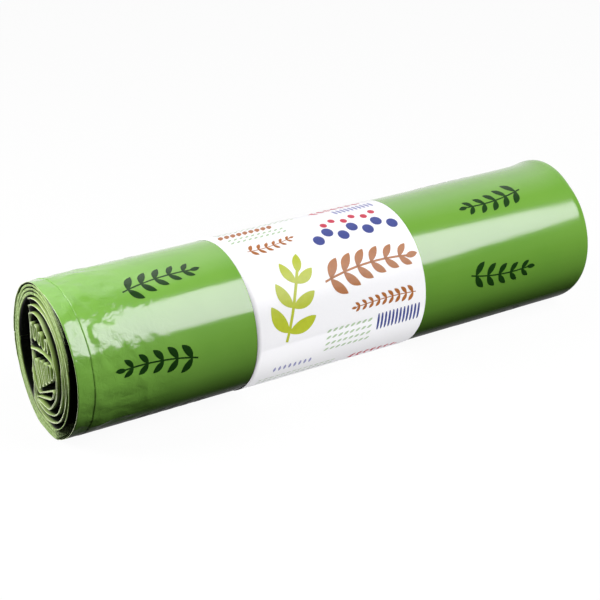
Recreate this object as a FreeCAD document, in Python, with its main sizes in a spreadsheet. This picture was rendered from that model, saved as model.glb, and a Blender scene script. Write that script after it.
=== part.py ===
import FreeCAD, Part
import Sketcher
import math
import os

# A coreless roll of bin bags, lying on its side, with a paper band round its middle.
# The bags are one long web of polyethylene film, folded once lengthwise and wound on itself.
# Millimetres. X runs along the roll, Z is up, and the origin is on the floor under the middle.
# The near side of the roll is -Y, and its far side, with the end of the web, is +Y.

SIZES = [
    ("roll_length", 350.0, "width of the folded web, which is a 700 mm bag folded once"),
    ("roll_diameter", 87.0, "across the wound film"),
    ("settling", 1.5, "how far the soft roll sinks flat where it lies"),
    ("flank_radius", 20.0, "radius from the flat up to the round side"),
    ("turn_thickness", 0.75, "one modelled turn, which stands for about four real ones"),
    ("turn_gap", 0.15, "air between packed turns"),
    ("outer_turns", 2.0, "packed turns that sit back from the left end"),
    ("packed_turns", 5.0, "packed turns under those"),
    ("end_step", 3.0, "how far the inner turns stand out on the left"),
    ("end_slant", 4.8, "degrees that the left end leans back towards the far side"),
    ("cut_margin", 1.0, "how far the slanted cut runs past the roll"),
    ("lap_thickness", 0.2, "the outermost ply, doubled over"),
    ("lap_setback", 9.5, "from the left rim to the edge of that ply"),
    ("ply_count", 3.0, "loose plies that lie on the bottom of the hollow"),
    ("lower_pleats", 9.0, "runs of the pleats that hang above those plies"),
    ("upper_pleats", 7.0, "runs of the pleats in the curl at the top"),
    ("band_width", 115.0, "paper band, along the roll"),
    ("band_centre", -7.3, "middle of the band, along the roll"),
    ("paper_thickness", 0.15, "one sheet of label paper"),
    ("paper_clearance", 0.1, "air between the band and the film"),
    ("glue_gap", 0.02, "glue line where the paper overlaps"),
    ("paper_overlap", 14.0, "how far the paper laps over its own start"),
]

HALF_TURN = 180.0
FULL_TURN = 360.0
BOTTOM = 270.0
INNER_TURNS_RADIUS = (
    "sizes.roll_diameter / 2 - sizes.lap_thickness"
    " - sizes.outer_turns * (sizes.turn_thickness + sizes.turn_gap)"
)
RUN_SHARE = 0.45  # how much of a run each of its two bends may take


def make_sheet(doc):
    """Writes the driving dimensions into a spreadsheet, each cell with its own alias."""
    sheet = doc.addObject("Spreadsheet::Sheet", "sizes")
    for row, (alias, value, note) in enumerate(SIZES, start=1):
        sheet.set(f"A{row}", alias)
        sheet.set(f"B{row}", str(value))
        sheet.set(f"C{row}", note)
        sheet.setAlias(f"B{row}", alias)
    doc.recompute()
    return sheet


# A path is a list of straight runs and arcs in the section plane, each tangent to the next.
# A run is ("line", start, end) and an arc is ("arc", centre, radius, start angle, sweep), in degrees.


def on_circle(centre, radius, angle):
    """The point of a circle at an angle in degrees."""
    turn = math.radians(angle)
    return (centre[0] + radius * math.cos(turn), centre[1] + radius * math.sin(turn))


def bottom_half(centre, radius, depth, flank):
    """The lower half of a turn, from its near side to its far side, flat where it lies."""
    lift = depth - flank
    reach = math.sqrt((radius - flank) ** 2 - lift**2)
    near_flank = (centre[0] - reach, centre[1] - lift)
    far_flank = (centre[0] + reach, centre[1] - lift)
    round_part = math.degrees(math.atan2(lift, reach))
    flank_part = BOTTOM - HALF_TURN - round_part
    return [
        ("arc", centre, radius, HALF_TURN, round_part),
        ("arc", near_flank, flank, HALF_TURN + round_part, flank_part),
        ("line", on_circle(near_flank, flank, BOTTOM), on_circle(far_flank, flank, BOTTOM)),
        ("arc", far_flank, flank, BOTTOM, flank_part),
        ("arc", centre, radius, BOTTOM + flank_part, round_part),
    ]


def packed_path(size, first, count):
    """Packed turns of the spiral, counted from the outside, each a pitch inside the last.

    The upper half of a turn is centred on the roll. Its lower half is centred half a pitch
    nearer, and so comes back to the far side one pitch further in.
    """
    path = []
    for turn in range(first, first + count):
        inset = turn * size["pitch"]
        path.append(("arc", (0.0, size["axis_height"]), size["web_radius"] - inset, 0.0, HALF_TURN))
        path += bottom_half(
            (-size["pitch"] / 2, size["axis_height"]),
            size["web_radius"] - inset - size["pitch"] / 2,
            size["web_depth"] - inset,
            size["flank_radius"] - inset,
        )
    return path


def plies(count):
    """Loose plies, folded to and fro on the bottom of the hollow and fanned out on the near side."""
    points = []
    for ply in range(count):
        near_end = (0.16 + 0.15 * ply, -0.72 + 0.225 * ply)
        far_end = (-0.26 + 0.01 * ply, -0.72 + 0.05 * ply)
        points += [near_end, far_end] if ply % 2 == 0 else [far_end, near_end]
    return points


def pleats(count, first_run, last_run):
    """Runs of pleats, each from a head to a foot or back, spread from the first run to the last."""
    points = []
    for pleat in range(count):
        share = pleat / (count - 1)
        run = [
            (a[0] + (b[0] - a[0]) * share, a[1] + (b[1] - a[1]) * share)
            for a, b in zip(first_run, last_run)
        ]
        points += run if pleat % 2 == 0 else reversed(run)
    return points


def loose_points(size):
    """Where the loose inner web runs, as shares of the hollow's radius: nearer, then higher."""
    kinked_turn = [
        (-1.00, 0.10), (-0.93, 0.34), (-0.79, 0.57), (-0.59, 0.76), (-0.33, 0.89), (0.00, 0.94),
        (0.35, 0.87), (0.66, 0.67), (0.87, 0.36), (0.94, 0.00), (0.89, -0.30), (0.72, -0.60),
        (0.46, -0.81), (0.13, -0.92), (-0.22, -0.91), (-0.57, -0.75), (-0.83, -0.42), (-0.92, 0.00),
    ]
    second_turn = [
        (-0.79, 0.18), (-0.75, 0.42), (-0.60, 0.62), (-0.34, 0.78), (0.00, 0.84), (0.34, 0.77),
        (0.65, 0.53), (0.82, 0.16), (0.80, -0.20), (0.65, -0.50), (0.40, -0.72), (0.05, -0.83),
        (-0.38, -0.77),
    ]
    far_fold = [
        (-0.40, -0.56), (-0.46, -0.42), (-0.61, -0.30), (-0.73, -0.17), (-0.77, -0.03), (-0.68, 0.12),
    ]
    curl = [
        (-0.50, 0.24), (-0.53, 0.40), (-0.50, 0.54), (-0.39, 0.63), (-0.21, 0.68), (-0.03, 0.67),
        (0.13, 0.59), (0.29, 0.46), (0.43, 0.29), (0.53, 0.11), (0.57, -0.09), (0.52, -0.29),
        (0.42, -0.47), (0.30, -0.61),
    ]
    inner_fold = [(-0.34, -0.48), (-0.43, -0.35), (-0.57, -0.22), (-0.63, -0.10), (-0.55, -0.02)]
    first_lower = [(-0.40, -0.10), (-0.20, -0.52)]
    last_lower = [(0.34, 0.07), (0.36, -0.17)]
    ledge = [
        (0.45, -0.10), (0.47, 0.06), (0.38, 0.14), (0.10, 0.16), (-0.20, 0.11), (-0.48, 0.02),
        (-0.62, 0.03), (-0.57, 0.13), (-0.42, 0.20), (-0.43, 0.40),
    ]
    first_upper = [(-0.36, 0.52), (-0.31, 0.24)]
    last_upper = [(0.22, 0.40), (0.26, 0.23)]
    points = kinked_turn + second_turn + far_fold + curl
    points += plies(int(size["ply_count"])) + inner_fold
    points += pleats(int(size["lower_pleats"]), first_lower, last_lower) + ledge
    points += pleats(int(size["upper_pleats"]), first_upper, last_upper)
    return points


def bent_path(points):
    """Straight runs through the points, joined by arcs as large as the runs allow."""
    runs = [math.dist(a, b) for a, b in zip(points, points[1:])]
    path, at = [], points[0]
    for before, corner, after, run_in, run_out in zip(points, points[1:], points[2:], runs, runs[1:]):
        heading_in = math.atan2(corner[1] - before[1], corner[0] - before[0])
        heading_out = math.atan2(after[1] - corner[1], after[0] - corner[0])
        turn = math.remainder(heading_out - heading_in, 2 * math.pi)
        cut = RUN_SHARE * min(run_in, run_out)
        radius = cut / math.tan(abs(turn) / 2)
        side = math.copysign(1.0, turn)
        start = (corner[0] - cut * math.cos(heading_in), corner[1] - cut * math.sin(heading_in))
        centre = (
            start[0] - side * radius * math.sin(heading_in),
            start[1] + side * radius * math.cos(heading_in),
        )
        first_angle = math.degrees(heading_in) - side * 90.0
        path.append(("line", at, start))
        path.append(("arc", centre, radius, first_angle, math.degrees(turn)))
        at = on_circle(centre, radius, first_angle + math.degrees(turn))
    path.append(("line", at, points[-1]))
    return path


def loose_path(size):
    """The loose inner web, which leaves the packed turns on the far side, heading up."""
    radius, axis_height = size["hollow_radius"], size["axis_height"]
    points = [(radius, axis_height)]
    for nearer, higher in loose_points(size):
        points.append((-nearer * radius, axis_height + higher * radius))
    return bent_path(points)


def side_of(piece, distance):
    """A run or an arc moved sideways, to the left of the way it travels."""
    if piece[0] == "line":
        (ax, ay), (bx, by) = piece[1:]
        length = math.dist(piece[1], piece[2])
        across = (-(by - ay) / length * distance, (bx - ax) / length * distance)
        return ("line", (ax + across[0], ay + across[1]), (bx + across[0], by + across[1]))
    kind, centre, radius, start, sweep = piece
    return (kind, centre, radius - math.copysign(distance, sweep * distance), start, sweep)


def end_points(piece):
    """Where a run or an arc starts and ends."""
    if piece[0] == "line":
        return piece[1], piece[2]
    centre, radius, start, sweep = piece[1:]
    return on_circle(centre, radius, start), on_circle(centre, radius, start + sweep)


def curve_of(piece):
    """The sketch geometry of a run or an arc."""
    if piece[0] == "line":
        return Part.LineSegment(FreeCAD.Vector(*piece[1], 0), FreeCAD.Vector(*piece[2], 0))
    centre, radius, start, sweep = piece[1:]
    circle = Part.Circle(FreeCAD.Vector(*centre, 0), FreeCAD.Vector(0, 0, 1), radius)
    low, high = sorted((start, start + sweep))
    return Part.ArcOfCircle(circle, math.radians(low), math.radians(high))


def strip_outline(path, thickness):
    """The closed outline of a sheet of one thickness that follows a path."""
    left = [side_of(piece, thickness / 2) for piece in path]
    right = [side_of(piece, -thickness / 2) for piece in path]
    start_edge = ("line", end_points(left[0])[0], end_points(right[0])[0])
    end_edge = ("line", end_points(left[-1])[1], end_points(right[-1])[1])
    return [curve_of(piece) for piece in left + right + [start_edge, end_edge]]


def flat_sketch(body, name, role, outline):
    """A sketch on one of the body's own origin planes."""
    plane = next(f for f in body.Origin.OriginFeatures if f.Role == role)
    sketch = body.newObject("Sketcher::SketchObject", name)
    sketch.AttachmentSupport = (plane, [""])
    sketch.MapMode = "FlatFace"
    sketch.addGeometry(outline, False)
    return sketch


def padded_section(body, name, outline, place, length):
    """Pads a section along the roll. Place and length are expressions on the sheet."""
    sketch = flat_sketch(body, name + "_section", "YZ_Plane", outline)
    sketch.setExpression("AttachmentOffset.Base.z", place)
    pad = body.newObject("PartDesign::Pad", name)
    pad.Profile = sketch
    pad.setExpression("Length", length)
    body.Document.recompute()
    return pad


def slanted_end(body, size):
    """Cuts the left end off along a plane that leans back from its near side to its far side."""
    slant = math.radians(size["end_slant"])
    left = (size["roll_length"] + size["end_step"]) / 2
    near = size["inner_turns_radius"]
    far = size["film_radius"] + size["cut_margin"]
    near_corner = FreeCAD.Vector(-left, -near, 0)
    far_corner = FreeCAD.Vector(-left, far, 0)
    deep_corner = FreeCAD.Vector(-left + (near + far) * math.tan(slant), far, 0)
    sides = [
        Part.LineSegment(near_corner, far_corner),
        Part.LineSegment(far_corner, deep_corner),
        Part.LineSegment(deep_corner, near_corner),
    ]
    sketch = flat_sketch(body, "end_cut_section", "XY_Plane", sides)
    for side in range(3):
        sketch.addConstraint(Sketcher.Constraint("Coincident", side, 2, (side + 1) % 3, 1))
    sketch.addConstraint(Sketcher.Constraint("Vertical", 0))
    sketch.addConstraint(Sketcher.Constraint("Horizontal", 1))
    driven = [
        ("left", ("DistanceX", 0, 1, -1, 1, left), "(sizes.roll_length + sizes.end_step) / 2"),
        ("near", ("DistanceY", 0, 1, -1, 1, near), INNER_TURNS_RADIUS),
        ("far", ("DistanceY", -1, 1, 1, 1, far), "sizes.roll_diameter / 2 + sizes.cut_margin"),
        ("slant", ("Angle", 2, 2, 0, 1, slant), "sizes.end_slant"),
    ]
    for name, values, expression in driven:
        index = sketch.addConstraint(Sketcher.Constraint(*values))
        sketch.renameConstraint(index, name)
        sketch.setExpression("Constraints." + name, expression)
    cut = body.newObject("PartDesign::Pocket", "end_cut")
    cut.Profile = sketch
    cut.Type = "ThroughAll"
    cut.Midplane = True
    body.Document.recompute()
    return cut


def derived_sizes(sheet):
    """The sheet's values, with the sizes that follow from them."""
    size = {alias: float(sheet.get(alias)) for alias, _, _ in SIZES}
    size["pitch"] = size["turn_thickness"] + size["turn_gap"]
    size["film_radius"] = size["roll_diameter"] / 2
    size["web_radius"] = size["film_radius"] - size["lap_thickness"] - size["turn_thickness"] / 2
    size["web_depth"] = size["web_radius"] - size["pitch"] / 2 - size["settling"]
    size["film_depth"] = size["web_depth"] + size["turn_thickness"] / 2 + size["lap_thickness"]
    size["axis_height"] = size["film_depth"] + size["paper_clearance"] + size["paper_thickness"]
    outer_depth = size["lap_thickness"] + size["outer_turns"] * size["pitch"]
    size["inner_turns_radius"] = size["film_radius"] - outer_depth
    turns = size["outer_turns"] + size["packed_turns"]
    size["hollow_radius"] = size["web_radius"] - turns * size["pitch"]
    return size


def build_roll(doc, size):
    """The wound film: inner turns, outer turns that sit back on the left, and the last ply."""
    body = doc.addObject("PartDesign::Body", "bag_roll")
    body.Label = "bag_roll"
    outer, packed = int(size["outer_turns"]), int(size["packed_turns"])
    inner_path = packed_path(size, outer, packed) + loose_path(size)
    padded_section(
        body, "inner_turns", strip_outline(inner_path, size["turn_thickness"]),
        "-(sizes.roll_length + sizes.end_step) / 2", "sizes.roll_length",
    )
    padded_section(
        body, "outer_turns", strip_outline(packed_path(size, 0, outer), size["turn_thickness"]),
        "-(sizes.roll_length - sizes.end_step) / 2", "sizes.roll_length",
    )
    lap_offset = -(size["turn_thickness"] + size["lap_thickness"]) / 2
    lap_path = [side_of(piece, lap_offset) for piece in packed_path(size, 0, 1)]
    padded_section(
        body, "outer_ply", strip_outline(lap_path, size["lap_thickness"]),
        "-(sizes.roll_length - sizes.end_step) / 2 + sizes.lap_setback",
        "sizes.roll_length - sizes.lap_setback",
    )
    slanted_end(body, size)
    return body


def build_band(doc, size):
    """The paper band: one sheet round the roll, glued over its own start on the far side."""
    body = doc.addObject("PartDesign::Body", "paper_band")
    body.Label = "paper_band"
    radius = size["film_radius"] + size["paper_clearance"] + size["paper_thickness"] / 2
    lift = size["paper_thickness"] + size["glue_gap"]
    centre = (0.0, size["axis_height"])
    path = [("arc", centre, radius, 0.0, HALF_TURN)]
    path += bottom_half(
        (lift / 2, size["axis_height"]), radius + lift / 2,
        size["film_depth"] + size["paper_clearance"] + size["paper_thickness"] / 2,
        size["flank_radius"],
    )
    overlap_angle = math.degrees(size["paper_overlap"] / (radius + lift))
    path.append(("arc", centre, radius + lift, FULL_TURN, overlap_angle))
    padded_section(
        body, "sheet", strip_outline(path, size["paper_thickness"]),
        "sizes.band_centre - sizes.band_width / 2", "sizes.band_width",
    )
    return body


def centre_across(body):
    """Moves a sub-part so that the paper's overlap doesn't push the roll off the middle."""
    body.setExpression("Placement.Base.y", "-(sizes.paper_thickness + sizes.glue_gap) / 2")


def check_document(doc, bodies):
    """Stops before anything is written if a feature or a sub-part failed."""
    for item in doc.Objects:
        if {"Invalid", "Error"} & set(item.State):
            raise RuntimeError(f"{item.Name} failed: {item.State}")
    for body in bodies:
        shape = body.Shape
        if shape.isNull() or not shape.isValid() or len(shape.Solids) != 1:
            raise RuntimeError(f"{body.Label} is not one valid solid")


doc = FreeCAD.newDocument("bin_bag_roll")
sheet = make_sheet(doc)
size = derived_sizes(sheet)
bodies = [build_roll(doc, size), build_band(doc, size)]
for body in bodies:
    centre_across(body)
doc.recompute()
check_document(doc, bodies)

os.makedirs("parts", exist_ok=True)
for body in bodies:
    body.Shape.exportStep(f"parts/{body.Label}.step")
    box = body.Shape.BoundBox
    print(body.Label, "volume", round(body.Shape.Volume), "faces", len(body.Shape.Faces), box)
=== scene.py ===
import bpy
import math
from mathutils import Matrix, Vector, noise


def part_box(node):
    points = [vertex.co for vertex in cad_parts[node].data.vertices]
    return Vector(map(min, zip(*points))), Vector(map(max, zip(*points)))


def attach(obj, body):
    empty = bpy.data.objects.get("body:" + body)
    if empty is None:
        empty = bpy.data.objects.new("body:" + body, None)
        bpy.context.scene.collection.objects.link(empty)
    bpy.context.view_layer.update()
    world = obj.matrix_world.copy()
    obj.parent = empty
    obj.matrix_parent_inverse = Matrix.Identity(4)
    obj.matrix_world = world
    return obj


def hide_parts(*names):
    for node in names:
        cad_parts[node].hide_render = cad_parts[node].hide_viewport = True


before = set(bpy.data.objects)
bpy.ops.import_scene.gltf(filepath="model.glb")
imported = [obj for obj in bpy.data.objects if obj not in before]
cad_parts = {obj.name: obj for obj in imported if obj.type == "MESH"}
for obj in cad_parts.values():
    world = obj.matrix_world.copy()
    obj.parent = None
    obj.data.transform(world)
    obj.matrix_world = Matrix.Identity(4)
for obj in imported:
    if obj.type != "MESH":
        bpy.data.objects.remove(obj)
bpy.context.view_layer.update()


# The loose turns
# The bags are one long web of green polyethylene film, folded once lengthwise and wound on itself
# with no core. Its start lies loose in the middle, folded to and fro into pleats under a curl.

MM = 0.001

film_low, film_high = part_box("bag_roll")
ROLL_RADIUS = (film_high[1] - film_low[1]) / 2
AXIS_Y = (film_high[1] + film_low[1]) / 2
AXIS_Z = film_high[2] - ROLL_RADIUS
LEFT_END = film_low[0]
RIGHT_END = film_high[0]

# The solid's turns stand for about four real ones each.
TURN_PITCH = 0.9 * MM
TURN_THICKNESS = 0.75 * MM
PACKED_TURNS = 7
OUTER_TURNS = 2
LAP_THICKNESS = 0.2 * MM
HOLLOW_RADIUS = ROLL_RADIUS - LAP_THICKNESS - TURN_THICKNESS / 2 - PACKED_TURNS * TURN_PITCH

END_STEP = 3.0 * MM
END_SLANT = math.radians(4.8)
INNER_RIGHT = RIGHT_END - END_STEP
NEAR_RIM = AXIS_Y - ROLL_RADIUS + LAP_THICKNESS + OUTER_TURNS * TURN_PITCH

ARC_STEP = math.radians(5.0)
RUN_STEP = 2.0 * MM
SAME_PLACE = 0.01 * MM
BEND_SHARE = 0.45


def arc(centre, radius, start, sweep, step_angle=ARC_STEP):
    """Points along an arc of the section, as (y, z), with angles from the far side upwards."""
    steps = max(1, math.ceil(abs(sweep) / step_angle))
    angles = [start + sweep * step / steps for step in range(steps + 1)]
    return [(centre[0] + radius * math.cos(a), centre[1] + radius * math.sin(a)) for a in angles]


def run(start, end):
    """Points along a straight run of the section."""
    steps = max(1, math.ceil(math.dist(start, end) / RUN_STEP))
    return [
        (start[0] + (end[0] - start[0]) * step / steps, start[1] + (end[1] - start[1]) * step / steps)
        for step in range(steps + 1)
    ]


def without_doubles(points):
    """The points, less each that repeats the one before."""
    kept = [points[0]]
    for point in points[1:]:
        if math.dist(point, kept[-1]) > SAME_PLACE:
            kept.append(point)
    return kept


def bent(points):
    """Straight runs through the points, with bends as large as the runs allow."""
    path, at = [], points[0]
    for before, corner, after in zip(points, points[1:], points[2:]):
        heading_in = math.atan2(corner[1] - before[1], corner[0] - before[0])
        heading_out = math.atan2(after[1] - corner[1], after[0] - corner[0])
        turn = math.remainder(heading_out - heading_in, 2 * math.pi)
        cut = BEND_SHARE * min(math.dist(before, corner), math.dist(corner, after))
        radius = cut / math.tan(abs(turn) / 2)
        side = math.copysign(1.0, turn)
        start = (corner[0] - cut * math.cos(heading_in), corner[1] - cut * math.sin(heading_in))
        centre = (
            start[0] - side * radius * math.sin(heading_in),
            start[1] + side * radius * math.cos(heading_in),
        )
        path += run(at, start)
        path += arc(centre, radius, heading_in - side * math.pi / 2, turn)
        at = path[-1]
    return without_doubles(path + run(at, points[-1]))


def pleats(count, first_run, last_run):
    """Runs of pleats, each from a head to a foot or back, spread from the first run to the last."""
    points = []
    for pleat in range(count):
        share = pleat / (count - 1)
        ends = [
            (a[0] + (b[0] - a[0]) * share, a[1] + (b[1] - a[1]) * share)
            for a, b in zip(first_run, last_run)
        ]
        points += ends if pleat % 2 == 0 else reversed(ends)
    return points


def flat_folds(count):
    """Plies folded to and fro on the bottom of the hollow, and fanned out on the near side."""
    points = []
    for ply in range(count):
        near_end = (0.16 + 0.15 * ply, -0.72 + 0.225 * ply)
        far_end = (-0.26 + 0.01 * ply, -0.72 + 0.05 * ply)
        points += [near_end, far_end] if ply % 2 == 0 else [far_end, near_end]
    return points


# Places in the hollow are shares of its radius: nearer, then higher.
kinked_turn = [
    (-1.00, 0.10), (-0.93, 0.34), (-0.79, 0.57), (-0.59, 0.76), (-0.33, 0.89), (0.00, 0.94),
    (0.35, 0.87), (0.66, 0.67), (0.87, 0.36), (0.94, 0.00), (0.89, -0.30), (0.72, -0.60),
    (0.46, -0.81), (0.13, -0.92), (-0.22, -0.91), (-0.57, -0.75), (-0.83, -0.42), (-0.92, 0.00),
]
second_turn = [
    (-0.79, 0.18), (-0.75, 0.42), (-0.60, 0.62), (-0.34, 0.78), (0.00, 0.84), (0.34, 0.77),
    (0.65, 0.53), (0.82, 0.16), (0.80, -0.20), (0.65, -0.50), (0.40, -0.72), (0.05, -0.83),
    (-0.38, -0.77),
]
far_fold = [
    (-0.40, -0.56), (-0.46, -0.42), (-0.61, -0.30), (-0.73, -0.17), (-0.77, -0.03), (-0.68, 0.12),
]
curl = [
    (-0.50, 0.24), (-0.53, 0.40), (-0.50, 0.54), (-0.39, 0.63), (-0.21, 0.68), (-0.03, 0.67),
    (0.13, 0.59), (0.29, 0.46), (0.43, 0.29), (0.53, 0.11), (0.57, -0.09), (0.52, -0.29),
    (0.42, -0.47), (0.30, -0.61),
]
inner_fold = [(-0.34, -0.48), (-0.43, -0.35), (-0.57, -0.22), (-0.63, -0.10), (-0.55, -0.02)]
ledge = [
    (0.45, -0.10), (0.47, 0.06), (0.38, 0.14), (0.10, 0.16), (-0.20, 0.11), (-0.48, 0.02),
    (-0.62, 0.03), (-0.57, 0.13), (-0.42, 0.20), (-0.43, 0.40),
]
shares = kinked_turn + second_turn + far_fold + curl + flat_folds(3) + inner_fold
shares += pleats(9, [(-0.40, -0.10), (-0.20, -0.52)], [(0.34, 0.07), (0.36, -0.17)]) + ledge
shares += pleats(7, [(-0.36, 0.52), (-0.31, 0.24)], [(0.22, 0.40), (0.26, 0.23)])
corners = [(AXIS_Y + HOLLOW_RADIUS, AXIS_Z)]
corners += [(AXIS_Y - nearer * HOLLOW_RADIUS, AXIS_Z + higher * HOLLOW_RADIUS) for nearer, higher in shares]
loose_path = bent(corners)

# On the far side the loose turns have slipped back into the roll. The shares are of the hollow's radius.
FAR_SLIP = 6.0 * MM
SLIP_START = 0.45
SLIP_FULL = 0.8


def share_between(value, start, end):
    """How far a value has gone from start to end, kept between 0 and 1."""
    return min(1.0, max(0.0, (value - start) / (end - start)))


def slanted(left, y):
    """The left edge of a ply at a place across the roll, no further left than the slanted end."""
    return max(left, LEFT_END + (y - NEAR_RIM) * math.tan(END_SLANT))


def loose_left(length, y, z):
    """Where a loose ply starts."""
    far_share = (y - AXIS_Y) / HOLLOW_RADIUS
    return slanted(LEFT_END, y) + FAR_SLIP * share_between(far_share, SLIP_START, SLIP_FULL)


def wander(length, seed, size):
    """A smooth wavering value along the web, in long waves of about that size with shorter ones on them."""
    long_wave = noise.noise(Vector((length / size, seed, 0.0)))
    short_wave = noise.noise(Vector((length * 2.7 / size, seed, 5.0)))
    return long_wave + short_wave / 2


def new_object(name, data):
    """An object that holds this data, put in the scene."""
    made = bpy.data.objects.new(name, data)
    bpy.context.scene.collection.objects.link(made)
    return made


def path_object(name, points, left, right, amount, seed, size):
    """A line of edges through the points. It holds the web's left and right edge at each, which
    waver by the amount, as film is never wound quite straight."""
    mesh = bpy.data.meshes.new(name)
    edges = [(i, i + 1) for i in range(len(points) - 1)]
    mesh.from_pydata([(0.0, y, z) for y, z in points], edges, [])
    lefts = mesh.attributes.new("left_edge", "FLOAT", "POINT")
    rights = mesh.attributes.new("right_edge", "FLOAT", "POINT")
    length = 0.0
    for i, (y, z) in enumerate(points):
        if i:
            length += math.dist(points[i - 1], (y, z))
        at = left(length, y, z) if callable(left) else left
        lefts.data[i].value = slanted(at, y) + amount * wander(length, seed, size)
        rights.data[i].value = right + amount * wander(length, seed + 9.0, size)
    return new_object(name, mesh)


def add_node(tree, kind, inputs=None, operation=None, **settings):
    """Adds a node with its operation and settings, and sets its inputs: to a value, or by a link
    from a socket or from a node's first output."""
    node = tree.nodes.new(kind)
    if operation:
        node.operation = operation
    for name, value in settings.items():
        setattr(node, name, value)
    for name, value in (inputs or {}).items():
        socket = node.inputs[name]
        if isinstance(value, bpy.types.Node):
            tree.links.new(value.outputs[0], socket)
        elif isinstance(value, bpy.types.NodeSocket):
            tree.links.new(value, socket)
        else:
            socket.default_value = value
    return node


def new_group(name, inputs, output):
    """A geometry node group, with its inputs and its one output given as (name, kind)."""
    tree = bpy.data.node_groups.new(name, "GeometryNodeTree")
    for label, kind in inputs:
        tree.interface.new_socket(label, in_out="INPUT", socket_type="NodeSocket" + kind)
    tree.interface.new_socket(output[0], in_out="OUTPUT", socket_type="NodeSocket" + output[1])
    return tree, tree.nodes.new("NodeGroupInput").outputs, tree.nodes.new("NodeGroupOutput").inputs


# The film crumples near the left end, swells a little all over, flares at the upper right, and is
# held flat where the band goes round it and where it lies.
CRUMPLE_SIZE = 24.0 * MM
CRUMPLE_HEIGHT = 1.8 * MM
CREASE_SIZE = 10.0 * MM
CREASE_HEIGHT = 2.0 * MM
CREASE_STRETCH = (0.65, 1.0, 1.0)
CRUMPLES_FULL = LEFT_END + 30 * MM
CRUMPLES_END = LEFT_END + 64 * MM
RIM_CALM = 0.3
RIM_CALM_FROM = LEFT_END + 3 * MM
RIM_CALM_TO = LEFT_END + 10 * MM
SWELL_SIZE = 60.0 * MM
SWELL_HEIGHT = 0.5 * MM
HELD_BELOW = 2.0 * MM
FREE_ABOVE = 16.0 * MM
BAND_HOLD = 12.0 * MM
FLARE_REACH = 7.0 * MM
FLARE_ANGLE = math.radians(62.0)
FLARE_SPREAD = 0.45

band_low, band_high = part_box("paper_band")
BAND_LEFT = band_low[0]
BAND_RIGHT = band_high[0]


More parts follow.
